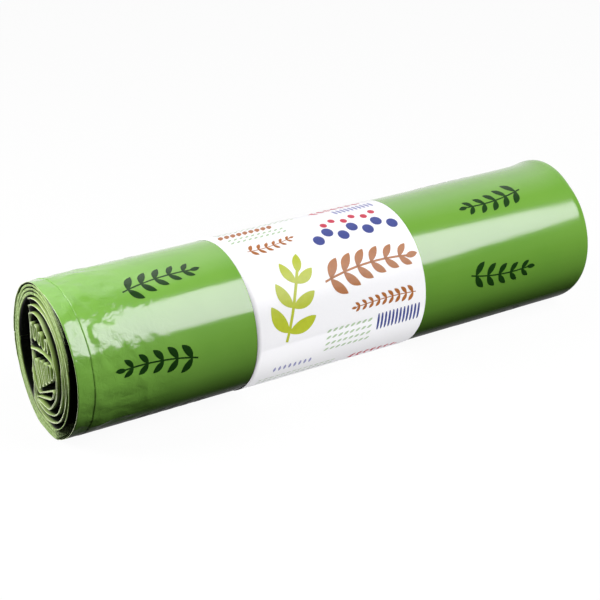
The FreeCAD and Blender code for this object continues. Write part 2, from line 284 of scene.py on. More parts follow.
def film_relief_tree():
    """How far the film stands off its true winding at a place, as an offset."""
    tree, given, out = new_group(
        "film_relief", [("Position", "Vector"), ("Flare", "Float")], ("Offset", "Vector")
    )
    at = given["Position"]
    x, y, z = add_node(tree, "ShaderNodeSeparateXYZ", {0: at}).outputs
    axis = (0.0, AXIS_Y, AXIS_Z)
    from_axis = add_node(tree, "ShaderNodeVectorMath", {0: at, 1: axis}, "SUBTRACT")
    spoke = add_node(tree, "ShaderNodeVectorMath", {0: from_axis, 1: (0.0, 1.0, 1.0)}, "MULTIPLY")
    outward = add_node(tree, "ShaderNodeVectorMath", {0: spoke}, "NORMALIZE")
    rim = add_node(tree, "ShaderNodeVectorMath", {0: outward, "Scale": ROLL_RADIUS}, "SCALE")
    along = add_node(tree, "ShaderNodeCombineXYZ", {"X": x})
    place = add_node(tree, "ShaderNodeVectorMath", {0: rim, 1: along}, "ADD")
    stretched = add_node(tree, "ShaderNodeVectorMath", {0: place, 1: CREASE_STRETCH}, "MULTIPLY")
    crumples, creases, swells = [
        add_node(
            tree, "ShaderNodeTexNoise",
            {"Vector": vector, "Scale": 1 / size, "Detail": 1.0, "Roughness": rough, "Distortion": swirl},
        )
        for vector, size, rough, swirl in (
            (place, CRUMPLE_SIZE, 0.5, 0.6), (stretched, CREASE_SIZE, 0.4, 0.9),
            (place, SWELL_SIZE, 0.5, 0.0),
        )
    ]
    crumple_wave, crease_wave, swell_wave = [
        add_node(tree, "ShaderNodeMath", {0: wave, 1: 0.5}, "SUBTRACT")
        for wave in (crumples, creases, swells)
    ]
    near_left, lifted, before_band, after_band = [
        add_node(
            tree, "ShaderNodeMapRange", {"Value": value, 1: start, 2: end}, interpolation_type="SMOOTHSTEP"
        )
        for value, start, end in (
            (x, CRUMPLES_END, CRUMPLES_FULL), (z, HELD_BELOW, FREE_ABOVE),
            (x, BAND_LEFT, BAND_LEFT - BAND_HOLD), (x, BAND_RIGHT, BAND_RIGHT + BAND_HOLD),
        )
    ]
    creased = add_node(tree, "ShaderNodeMath", {0: crease_wave, 1: CREASE_HEIGHT}, "MULTIPLY")
    both = add_node(tree, "ShaderNodeMath", {0: crumple_wave, 1: CRUMPLE_HEIGHT, 2: creased}, "MULTIPLY_ADD")
    off_rim = add_node(
        tree, "ShaderNodeMapRange", {"Value": x, 1: RIM_CALM_FROM, 2: RIM_CALM_TO, 3: RIM_CALM, 4: 1.0}
    )
    crumpled = add_node(tree, "ShaderNodeMath", {0: both, 1: near_left}, "MULTIPLY")
    crumple = add_node(tree, "ShaderNodeMath", {0: crumpled, 1: off_rim}, "MULTIPLY")
    swell = add_node(tree, "ShaderNodeMath", {0: swell_wave, 1: SWELL_HEIGHT, 2: crumple}, "MULTIPLY_ADD")
    off_band = add_node(tree, "ShaderNodeMath", {0: before_band, 1: after_band}, "ADD")
    free = add_node(tree, "ShaderNodeMath", {0: lifted, 1: off_band}, "MULTIPLY")
    loose = add_node(tree, "ShaderNodeMath", {0: swell, 1: free}, "MULTIPLY")

    to_end = add_node(tree, "ShaderNodeMath", {0: RIGHT_END, 1: x}, "SUBTRACT")
    decay = add_node(tree, "ShaderNodeMath", {0: to_end, 1: -1 / FLARE_REACH}, "MULTIPLY")
    near_right = add_node(tree, "ShaderNodeMath", {0: decay}, "EXPONENT")
    flare_middle = (0.0, math.cos(FLARE_ANGLE), math.sin(FLARE_ANGLE))
    towards_flare = add_node(tree, "ShaderNodeVectorMath", {0: outward, 1: flare_middle}, "DOT_PRODUCT")
    flare_share = add_node(
        tree, "ShaderNodeMapRange", {"Value": towards_flare.outputs["Value"], 1: FLARE_SPREAD, 2: 1.0},
        interpolation_type="SMOOTHSTEP",
    )
    flare = add_node(tree, "ShaderNodeMath", {0: near_right, 1: flare_share}, "MULTIPLY")
    height = add_node(tree, "ShaderNodeMath", {0: flare, 1: given["Flare"], 2: loose}, "MULTIPLY_ADD")
    offset = add_node(tree, "ShaderNodeVectorMath", {0: outward, "Scale": height}, "SCALE")
    tree.links.new(offset.outputs[0], out["Offset"])
    return tree


# The grid's columns crowd towards the right end, where the film flares. A hidden part starts with
# a short ramp, and the last stretch at the right curls inwards.
COLUMN_CROWDING = 1.6
HIDDEN_RAMP = 4.0 * MM
CURL_REACH = 5.0 * MM
CURL_SHARPNESS = 3.0
film_relief = film_relief_tree()


def wound_sheet_tree():
    """A sheet that follows a path from its left edge to its right edge. The fine zone is the stretch
    from the left that gets the fine share of the grid's columns. Inputs that are left out are 0."""
    tree, given, out = new_group(
        "wound_sheet",
        [
            ("Path", "Geometry"), ("Thickness", "Float"), ("Shift", "Float"), ("Stations", "Int"),
            ("Fine zone", "Float"), ("Fine share", "Float"), ("Relief", "Float"), ("Flare", "Float"),
            ("Hidden from", "Float"), ("Hidden inset", "Float"), ("Rim inset", "Float"),
            ("Surface", "Material"), ("Inner surface", "Material"), ("Cut edge", "Material"),
        ],
        ("Sheet", "Geometry"),
    )
    path = add_node(tree, "GeometryNodeMeshToCurve", {"Mesh": given["Path"]})
    size = add_node(tree, "GeometryNodeAttributeDomainSize", {"Geometry": path}, component="CURVE")
    rows = size.outputs["Point Count"]
    block = add_node(
        tree, "GeometryNodeMeshCube",
        {"Size": (1.0, 1.0, 1.0), "Vertices X": given["Stations"], "Vertices Y": rows, "Vertices Z": 2},
    )
    position = add_node(tree, "GeometryNodeInputPosition")
    x, y, z = add_node(tree, "ShaderNodeSeparateXYZ", {0: position}).outputs
    across = add_node(tree, "ShaderNodeMath", {0: x, 1: 0.5}, "ADD")
    down = add_node(tree, "ShaderNodeMath", {0: y, 1: 0.5}, "ADD")
    last_row = add_node(tree, "ShaderNodeMath", {0: rows, 1: 1.0}, "SUBTRACT")
    row_value = add_node(tree, "ShaderNodeMath", {0: down, 1: last_row}, "MULTIPLY")
    row = add_node(tree, "FunctionNodeFloatToInt", {0: row_value}, rounding_mode="ROUND")
    tangent = add_node(tree, "GeometryNodeInputTangent")
    left_edge, right_edge = [
        add_node(tree, "GeometryNodeInputNamedAttribute", {"Name": name}, data_type="FLOAT")
        for name in ("left_edge", "right_edge")
    ]
    place, way, left, right = [
        add_node(
            tree, "GeometryNodeSampleIndex", {"Geometry": path, "Value": value, "Index": row}, data_type=kind
        )
        for value, kind in (
            (position, "FLOAT_VECTOR"), (tangent, "FLOAT_VECTOR"),
            (left_edge, "FLOAT"), (right_edge, "FLOAT"),
        )
    ]

    in_zone = add_node(
        tree, "ShaderNodeMapRange",
        {"Value": across, 1: 0.0, 2: given["Fine share"], 3: 0.0, 4: given["Fine zone"]},
    )
    zone_end = add_node(tree, "ShaderNodeMath", {0: left, 1: given["Fine zone"]}, "ADD")
    rest = add_node(tree, "ShaderNodeMath", {0: right, 1: zone_end}, "SUBTRACT")
    to_go = add_node(
        tree, "ShaderNodeMapRange", {"Value": across, 1: given["Fine share"], 2: 1.0, 3: 1.0, 4: 0.0}
    )
    crowded = add_node(tree, "ShaderNodeMath", {0: to_go, 1: COLUMN_CROWDING}, "POWER")
    gone = add_node(tree, "ShaderNodeMath", {0: 1.0, 1: crowded}, "SUBTRACT")
    past_zone = add_node(tree, "ShaderNodeMath", {0: gone, 1: rest}, "MULTIPLY")
    reach = add_node(tree, "ShaderNodeMath", {0: in_zone, 1: past_zone}, "ADD")
    place_x = add_node(tree, "ShaderNodeMath", {0: left, 1: reach}, "ADD")
    along = add_node(tree, "ShaderNodeCombineXYZ", {"X": place_x})
    middle = add_node(tree, "ShaderNodeVectorMath", {0: place, 1: along}, "ADD")

    off_sheet = add_node(tree, "ShaderNodeVectorMath", {0: (1.0, 0.0, 0.0), 1: way}, "CROSS_PRODUCT")
    height = add_node(tree, "ShaderNodeMath", {0: z, 1: given["Thickness"]}, "MULTIPLY")
    shifted = add_node(tree, "ShaderNodeMath", {0: height, 1: given["Shift"]}, "ADD")
    hidden = add_node(tree, "ShaderNodeMath", {0: given["Hidden from"], 1: HIDDEN_RAMP}, "ADD")
    inset = add_node(
        tree, "ShaderNodeMapRange",
        {"Value": place_x, 1: given["Hidden from"], 2: hidden, 3: 0.0, 4: given["Hidden inset"]},
        interpolation_type="SMOOTHSTEP",
    )
    tucked = add_node(tree, "ShaderNodeMath", {0: shifted, 1: inset}, "ADD")
    to_rim = add_node(tree, "ShaderNodeMath", {0: right, 1: place_x}, "SUBTRACT")
    at_rim = add_node(tree, "ShaderNodeMapRange", {"Value": to_rim, 1: CURL_REACH, 2: 0.0})
    curled = add_node(tree, "ShaderNodeMath", {0: at_rim, 1: CURL_SHARPNESS}, "POWER")
    lift = add_node(tree, "ShaderNodeMath", {0: curled, 1: given["Rim inset"], 2: tucked}, "MULTIPLY_ADD")
    to_face = add_node(tree, "ShaderNodeVectorMath", {0: off_sheet, "Scale": lift}, "SCALE")
    relief = add_node(tree, "GeometryNodeGroup", node_tree=film_relief)
    tree.links.new(middle.outputs[0], relief.inputs["Position"])
    tree.links.new(given["Flare"], relief.inputs["Flare"])
    eased = add_node(tree, "ShaderNodeVectorMath", {0: relief, "Scale": given["Relief"]}, "SCALE")
    face = add_node(tree, "ShaderNodeVectorMath", {0: middle, 1: to_face}, "ADD")
    final = add_node(tree, "ShaderNodeVectorMath", {0: face, 1: eased}, "ADD")

    # The block's faces at both ends of the path and at its left are cut edges, and its top is inside.
    to_left = add_node(tree, "ShaderNodeMath", {0: x, 1: -1.0}, "MULTIPLY")
    to_end = add_node(tree, "ShaderNodeMath", {0: y}, "ABSOLUTE")
    furthest = add_node(tree, "ShaderNodeMath", {0: to_left, 1: to_end}, "MAXIMUM")
    marked = block
    flags = []
    for name, outness in (("cut_edge", furthest), ("inner_side", z)):
        is_out = add_node(tree, "FunctionNodeCompare", {0: outness, 1: 0.49999}, "GREATER_THAN")
        marked = add_node(
            tree, "GeometryNodeStoreNamedAttribute", {"Geometry": marked, "Name": name, "Value": is_out},
            data_type="BOOLEAN", domain="FACE",
        )
        flags.append(
            add_node(tree, "GeometryNodeInputNamedAttribute", {"Name": name}, data_type="BOOLEAN")
        )
    cut_edges, inner_sides = flags
    placed = add_node(tree, "GeometryNodeSetPosition", {"Geometry": marked, "Position": final})
    faces = add_node(tree, "FunctionNodeBooleanMath", {0: cut_edges}, "NOT")
    smooth = add_node(tree, "GeometryNodeSetShadeSmooth", {0: placed, "Shade Smooth": faces})
    real = add_node(tree, "GeometryNodeRealizeInstances", {0: smooth})
    dressed = add_node(tree, "GeometryNodeSetMaterial", {0: real, "Material": given["Surface"]})
    lined = add_node(
        tree, "GeometryNodeSetMaterial",
        {0: dressed, "Selection": inner_sides, "Material": given["Inner surface"]},
    )
    edged = add_node(
        tree, "GeometryNodeSetMaterial", {0: lined, "Selection": cut_edges, "Material": given["Cut edge"]}
    )
    tree.links.new(edged.outputs[0], out["Sheet"])
    return tree


def made_plain(piece, tree, values):
    """Runs a tree on a piece with these inputs, and keeps the result as the piece's plain mesh."""
    modifier = piece.modifiers.new(tree.name, "NODES")
    modifier.node_group = tree
    for item in tree.interface.items_tree:
        if item.in_out == "INPUT" and item.name in values:
            modifier[item.identifier] = values[item.name]
    depsgraph = bpy.context.evaluated_depsgraph_get()
    depsgraph.update()
    mesh = bpy.data.meshes.new_from_object(piece.evaluated_get(depsgraph), depsgraph=depsgraph)
    piece.modifiers.clear()
    piece.data = mesh
    mesh.name = piece.name
    return piece


def linear(code):
    """An sRGB hex colour as linear red, green, blue and alpha."""
    values = [int(code[i:i + 2], 16) / 255 for i in (1, 3, 5)]
    return tuple(v / 12.92 if v <= 0.04045 else ((v + 0.055) / 1.055) ** 2.4 for v in values) + (1.0,)


def new_material(name, inputs):
    """A node material with only its output and a principled shader with these inputs."""
    made = bpy.data.materials.new(name)
    made.use_nodes = True
    tree = made.node_tree
    tree.nodes.clear()
    out = tree.nodes.new("ShaderNodeOutputMaterial")
    shader = add_node(tree, "ShaderNodeBsdfPrincipled", inputs)
    tree.links.new(shader.outputs[0], out.inputs["Surface"])
    return made, tree, shader


def add_patches(tree, shader, size, detail, code, other_code, low=0.0, high=1.0):
    """Gives a shader small soft patches of two colours, and returns their noise."""
    where = add_node(tree, "ShaderNodeTexCoord").outputs["Object"]
    patches = add_node(tree, "ShaderNodeTexNoise", {"Vector": where, "Scale": 1 / size, "Detail": detail})
    share = add_node(tree, "ShaderNodeMapRange", {"Value": patches, 1: low, 2: high})
    colour = add_node(
        tree, "ShaderNodeMix", {0: share, 6: linear(code), 7: linear(other_code)}, data_type="RGBA"
    )
    tree.links.new(colour.outputs[2], shader.inputs["Base Color"])
    return patches


# The green fades from left to right, is cloudy with the thickness of the film, and has painted
# shade low down, darker towards the bottom. The film's gloss is a milky, faintly lilac white.
FADE_SHARE = 0.45
CLOUD_SIZE = 30.0 * MM
CLOUD_DEPTH = 0.3
PAINTED_SHADE_FULL_BELOW = 4.0 * MM
PAINTED_SHADE_NONE_ABOVE = 30.0 * MM
PAINTED_SHADE_VALUE = 0.55
GLOSS = (0.88, 0.7, 1.0, 1.0)
FILM_IOR = 1.51

# Fine ripples run along the web, and the film crinkles near the left end.
RIPPLE_SIZE = 6.0 * MM
RIPPLE_STRETCH = (0.2, 1.0, 1.0)
CRINKLE_SIZE = 5.0 * MM
CRINKLES_FULL = LEFT_END + 30 * MM
CRINKLES_END = LEFT_END + 75 * MM
CRINKLE_SHARE = 4.0
RIPPLE_HEIGHT = 0.25 * MM


def film_material(name, left_colour, right_colour, deep_colour, painted_shade_colour=None, painted_shade_depth=0.0):
    """Blown polyethylene film: glossy, slightly rippled and cloudy. Inside the roll its gloss is
    lost, and painted shade turns the green nearly black a short way in from either end."""
    made, tree, shader = new_material(name, {
        "Roughness": 0.45 if painted_shade_colour else 0.15, "IOR": FILM_IOR,
        "Specular IOR Level": 0.25 if painted_shade_colour else 0.7, "Specular Tint": GLOSS,
        "Coat Weight": 0.0 if painted_shade_colour else 0.25, "Coat Roughness": 0.1, "Coat IOR": FILM_IOR,
    })
    where = add_node(tree, "ShaderNodeTexCoord").outputs["Object"]
    x, y, z = add_node(tree, "ShaderNodeSeparateXYZ", {0: where}).outputs
    fade_end = LEFT_END + FADE_SHARE * (RIGHT_END - LEFT_END)
    fade = add_node(tree, "ShaderNodeMapRange", {"Value": x, 1: LEFT_END, 2: fade_end})
    body = add_node(
        tree, "ShaderNodeMix", {0: fade, 6: linear(left_colour), 7: linear(right_colour)}, data_type="RGBA"
    )
    cloud = add_node(tree, "ShaderNodeTexNoise", {"Vector": where, "Scale": 1 / CLOUD_SIZE, "Detail": 4.0})
    cloud_share = add_node(
        tree, "ShaderNodeMapRange", {"Value": cloud, 1: 0.35, 2: 0.7, 3: 0.0, 4: CLOUD_DEPTH}
    )
    clouded = add_node(
        tree, "ShaderNodeMix", {0: cloud_share, 6: body.outputs[2], 7: linear(deep_colour)}, data_type="RGBA"
    )
    # Painted shade: the green is darkened towards the bottom of the roll.
    painted_low_shade = add_node(
        tree, "ShaderNodeMapRange", {"Value": z, 1: PAINTED_SHADE_NONE_ABOVE, 2: PAINTED_SHADE_FULL_BELOW, 3: 1.0, 4: PAINTED_SHADE_VALUE}
    )
    colour = add_node(
        tree, "ShaderNodeHueSaturation", {"Color": clouded.outputs[2], "Value": painted_low_shade}
    ).outputs[0]
    # Painted shade: inside the roll the green goes nearly black with depth from either end.
    if painted_shade_colour:
        slant = math.tan(END_SLANT)
        from_left = add_node(tree, "ShaderNodeVectorMath", {0: where, 1: (1.0, -slant, 0.0)}, "DOT_PRODUCT")
        past_left = add_node(
            tree, "ShaderNodeMath", {0: from_left.outputs["Value"], 1: LEFT_END - NEAR_RIM * slant},
            "SUBTRACT",
        )
        past_right = add_node(tree, "ShaderNodeMath", {0: INNER_RIGHT, 1: x}, "SUBTRACT")
        depth = add_node(tree, "ShaderNodeMath", {0: past_left, 1: past_right}, "MINIMUM")
        lost = add_node(tree, "ShaderNodeMapRange", {"Value": depth, 1: 0.0, 2: painted_shade_depth})
        colour = add_node(
            tree, "ShaderNodeMix", {0: lost, 6: colour, 7: linear(painted_shade_colour)}, data_type="RGBA"
        ).outputs[2]
    tree.links.new(colour, shader.inputs["Base Color"])
    stretched = add_node(tree, "ShaderNodeMapping", {"Vector": where, "Scale": RIPPLE_STRETCH})
    ripple = add_node(
        tree, "ShaderNodeTexNoise",
        {"Vector": stretched, "Scale": 1 / RIPPLE_SIZE, "Detail": 3.0, "Distortion": 0.5},
    )
    crinkle = add_node(
        tree, "ShaderNodeTexNoise",
        {"Vector": where, "Scale": 1 / CRINKLE_SIZE, "Detail": 3.0, "Roughness": 0.5, "Distortion": 1.5},
    )
    near_left = add_node(
        tree, "ShaderNodeMapRange", {"Value": x, 1: CRINKLES_END, 2: CRINKLES_FULL, 3: 0.0, 4: CRINKLE_SHARE}
    )
    both = add_node(tree, "ShaderNodeMath", {0: crinkle, 1: near_left, 2: ripple}, "MULTIPLY_ADD")
    bump = add_node(tree, "ShaderNodeBump", {"Height": both, "Strength": 0.3, "Distance": RIPPLE_HEIGHT})
    tree.links.new(bump.outputs[0], shader.inputs["Normal"])
    return made


EDGE_GRAIN = 1.5 * MM


def painted_glow_edge_material(name, dark_colour, pale_colour):
    """The cut edge of the film: dull, and painted paler than the film as a painted glow of the light that
    comes out of it.
    """
    made, tree, shader = new_material(name, {"Roughness": 0.7})
    # Painted glow: both patch colours are paler than the film.
    add_patches(tree, shader, EDGE_GRAIN, 3.0, dark_colour, pale_colour, 0.35, 0.65)
    return made


# The nearly black green painted deep inside the roll, as painted shade.
PAINTED_HOLLOW_SHADE = "#0a1204"
wound_sheet = wound_sheet_tree()
loose_film = film_material(
    "loose polyethylene film", "#a6c466", "#a6c466", "#8ba950", PAINTED_HOLLOW_SHADE, painted_shade_depth=2.5 * MM
)
cut_edge = painted_glow_edge_material("cut film edge", "#cbdba6", "#eff6d6")

# The folded web shows as two plies, side by side.
LOOSE_THICKNESS = 0.28 * MM
LOOSE_PITCH = 0.45 * MM

for ply, shift in enumerate((-LOOSE_PITCH / 2, LOOSE_PITCH / 2)):
    loose_turns = path_object(
        f"loose_turns_{ply + 1}", loose_path, loose_left, INNER_RIGHT, 0.9 * MM, 11.0 + 4 * ply, 30 * MM
    )
    made_plain(loose_turns, wound_sheet, {
        "Thickness": LOOSE_THICKNESS, "Shift": shift, "Stations": 12, "Fine zone": 30 * MM,
        "Fine share": 0.6, "Surface": loose_film, "Inner surface": loose_film, "Cut edge": cut_edge,
    })
    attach(loose_turns, "root")
    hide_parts("bag_roll")


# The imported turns
# Outside its loose start the same web is wound tight, ply on ply, and the cut edges of its plies
# stack up on the left. Film clings to film, so nothing else holds them.

FILM_BOTTOM = film_low[2]
FLANK_RADIUS = 20.0 * MM
PLIES_A_TURN = 3
PLY_PITCH = TURN_PITCH / PLIES_A_TURN
PLY_THICKNESS = 0.2 * MM
TURN_LENGTH = 2 * math.pi * ROLL_RADIUS

# The outer plies sit back in small steps, each a group of plies.
STAGGERED_PLIES = 14
STAGGER_GROUP = 2

# Every few plies some of them lie deeper and leave a dark groove, which fades out low down. Where
# the grooves lie drifts by a ply or two round the roll.
GROOVE_DEPTH = 7.0 * MM
GROOVE_EVERY = 6.5
GROOVE_PLIES = 2.3
GROOVE_DRIFT = 1.5
GROOVE_FOOT = 3.0 * MM
GROOVE_FULL = 24.0 * MM

# Low on the near side the outer plies draw back and leave a dark slot inside the rim. Its angles are
# heights above the middle of the near side. It widens from its top, and closes above its bottom.
SLOT_DEPTH = 15.0 * MM
SLOT_PLIES = 18
SLOT_TOP = math.radians(55.0)
SLOT_FULL = math.radians(-8.0)
SLOT_BOTTOM = math.radians(-68.0)
SLOT_CLOSING = math.radians(12.0)


def bottom_half(centre, radius, depth, flank, step_angle=ARC_STEP):
    """The lower half of a turn, from its near side to its far side, flat where it lies."""
    lift = depth - flank
    reach = math.sqrt((radius - flank) ** 2 - lift**2)
    near_flank = (centre[0] - reach, centre[1] - lift)
    far_flank = (centre[0] + reach, centre[1] - lift)
    round_part = math.atan2(lift, reach)
    flank_part = math.pi / 2 - round_part
    points = arc(centre, radius, math.pi, round_part, step_angle)
    points += arc(near_flank, flank, math.pi + round_part, flank_part, step_angle)
    points += run((near_flank[0], near_flank[1] - flank), (far_flank[0], far_flank[1] - flank))
    points += arc(far_flank, flank, 1.5 * math.pi, flank_part, step_angle)
    points += arc(centre, radius, 1.5 * math.pi + flank_part, round_part, step_angle)
    return points


def wound(radius, depth, flank, pitch, turns, step_angle=ARC_STEP):
    """Turns of the spiral from the outside in, which start on the far side and go up over the top."""
    points = []
    for turn in range(turns):
        inset = turn * pitch
        points += arc((AXIS_Y, AXIS_Z), radius - inset, 0.0, math.pi, step_angle)
        points += bottom_half(
            (AXIS_Y - pitch / 2, AXIS_Z), radius - inset - pitch / 2, depth - inset, flank - inset,
            step_angle,
        )
    return without_doubles(points)


def packed_left(length, y, z):
    """Where a packed ply starts, with its step, its grooves and the slot."""
    ply = length / TURN_LENGTH
    group = ply // STAGGER_GROUP * STAGGER_GROUP
    start = LEFT_END + END_STEP * (1.0 - share_between(group, 0.0, STAGGERED_PLIES))
    spot = Vector(((y - AXIS_Y) / ROLL_RADIUS * 1.3, (z - AXIS_Z) / ROLL_RADIUS * 1.3, 0.0))
    in_rhythm = (ply + GROOVE_DRIFT * noise.noise(spot)) % GROOVE_EVERY < GROOVE_PLIES
    groove = share_between(noise.noise(spot * 1.7), -0.7, -0.1) if in_rhythm else 0.0
    groove *= share_between(z, GROOVE_FOOT, GROOVE_FULL)
    height = math.atan2(z - AXIS_Z, AXIS_Y - y)
    if height > math.pi / 2:
        height -= 2 * math.pi
    widening = share_between(height, SLOT_TOP, SLOT_FULL)
    closing = share_between(height, SLOT_BOTTOM, SLOT_BOTTOM + SLOT_CLOSING)
    in_slot = 1.0 - share_between(ply, SLOT_PLIES * widening - 1.0, SLOT_PLIES * widening)
    slot = in_slot * min(1.0, 3.0 * widening) * closing
    return slanted(start, y) + max(groove * GROOVE_DEPTH, slot * SLOT_DEPTH)


packed_film = film_material(
    "packed polyethylene film", "#9fbd60", "#9fbd60", "#84a24a", PAINTED_HOLLOW_SHADE, painted_shade_depth=1.0 * MM
)
stacked_edges = painted_glow_edge_material("stacked film edges", "#7a9a52", "#c4d99c")

web_radius = ROLL_RADIUS - LAP_THICKNESS - PLY_THICKNESS / 2
web_depth = AXIS_Z - FILM_BOTTOM - LAP_THICKNESS - PLY_THICKNESS / 2
packed_path = wound(web_radius, web_depth, FLANK_RADIUS, PLY_PITCH, PACKED_TURNS * PLIES_A_TURN)
packed_turns = path_object("packed_turns", packed_path, packed_left, INNER_RIGHT, 0.12 * MM, 1.0, 40 * MM)
made_plain(packed_turns, wound_sheet, {
    "Thickness": PLY_THICKNESS, "Stations": 10, "Fine zone": 9 * MM, "Fine share": 0.5,
    "Hidden from": LEFT_END + 3 * MM, "Hidden inset": 1.5 * MM,
    "Surface": packed_film, "Inner surface": packed_film, "Cut edge": stacked_edges,
})
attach(packed_turns, "root")
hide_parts("bag_roll")


# The outer turn
# The last full turn of the same web but one. It shows on the left, where the ply over it sits back,
# and is tucked in a little where that ply covers it.

LAP_SETBACK = 9.5 * MM
OUTER_LEFT = LEFT_END + END_STEP
OUTER_RIGHT = RIGHT_END - 1.5 * MM
FINE_ARC_STEP = math.radians(2.5)

film = film_material("green polyethylene film", "#88c152", "#74a83f", "#649f36")
outer_path = wound(web_radius, web_depth, FLANK_RADIUS, TURN_PITCH, 1, FINE_ARC_STEP)
outer_turn = path_object("outer_turn", outer_path, OUTER_LEFT, OUTER_RIGHT, 0.3 * MM, 3.0, 50 * MM)
made_plain(outer_turn, wound_sheet, {
    "Thickness": PLY_THICKNESS, "Stations": 40, "Fine zone": 22 * MM, "Fine share": 0.6, "Relief": 1.0,
    "Hidden from": OUTER_LEFT + LAP_SETBACK + 2 * MM, "Hidden inset": 0.35 * MM, "Rim inset": 0.8 * MM,
    "Surface": film, "Inner surface": packed_film, "Cut edge": cut_edge,
})
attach(outer_turn, "root")
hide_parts("bag_roll")


# The outermost ply
# The loose outer layer of the folded web, cut a little back from the rim on the left. It crumples
# near that edge, and flares out at the top of the right end.

FLARE_HEIGHT = 2.4 * MM

lap_radius = ROLL_RADIUS - LAP_THICKNESS / 2
lap_depth = AXIS_Z - FILM_BOTTOM - LAP_THICKNESS / 2
lap_path = wound(lap_radius, lap_depth, FLANK_RADIUS, TURN_PITCH, 1, FINE_ARC_STEP)
outermost_ply = path_object(
    "outermost_ply", lap_path, OUTER_LEFT + LAP_SETBACK, RIGHT_END, 0.35 * MM, 6.0, 60 * MM
)
made_plain(outermost_ply, wound_sheet, {
    "Thickness": LAP_THICKNESS, "Stations": 220, "Fine zone": 80 * MM, "Fine share": 0.4, "Relief": 1.0,
    "Flare": FLARE_HEIGHT, "Rim inset": 0.9 * MM,
    "Surface": film, "Inner surface": packed_film, "Cut edge": film,
})
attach(outermost_ply, "root")
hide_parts("bag_roll")


# The film print
# Dark green ink, put on the film by a printing roller before it is wound. Leafy sprigs repeat in
# staggered rows all round both bare parts of the roll.

SPRIG_LENGTH = 44.0 * MM
SPRIG_LEAF = 10.5 * MM
SPRIG_PAIRS = 5
SPRIG_BEND = 2.0 * MM
SPRIG_ROWS = 6
SPRIG_STAGGER = 6.0 * MM
SPRIG_TURN = math.radians(5.0)
FIRST_ROW = 3.0 * MM
LEFT_COLUMN = -118.0 * MM
RIGHT_COLUMN = 112.0 * MM
INK_STAND_OFF = 0.05 * MM
INK_THICKNESS = 0.05 * MM
MARK_SHAPE = ("turn", "length", "width", "taper", "bend")


def marks_object(name, marks):
    """Points along and round the roll for printed marks, each given as (along, round, turn, length,
    width, taper, bend). The round way is measured upwards from the middle of the near side."""
    mesh = bpy.data.meshes.new(name)
    mesh.from_pydata([(mark[0], mark[1], 0.0) for mark in marks], [], [])
    for column, label in enumerate(MARK_SHAPE, 2):
        values = mesh.attributes.new(label, "FLOAT", "POINT").data
        for value, mark in zip(values, marks):
            value.value = mark[column]
    return new_object(name, mesh)


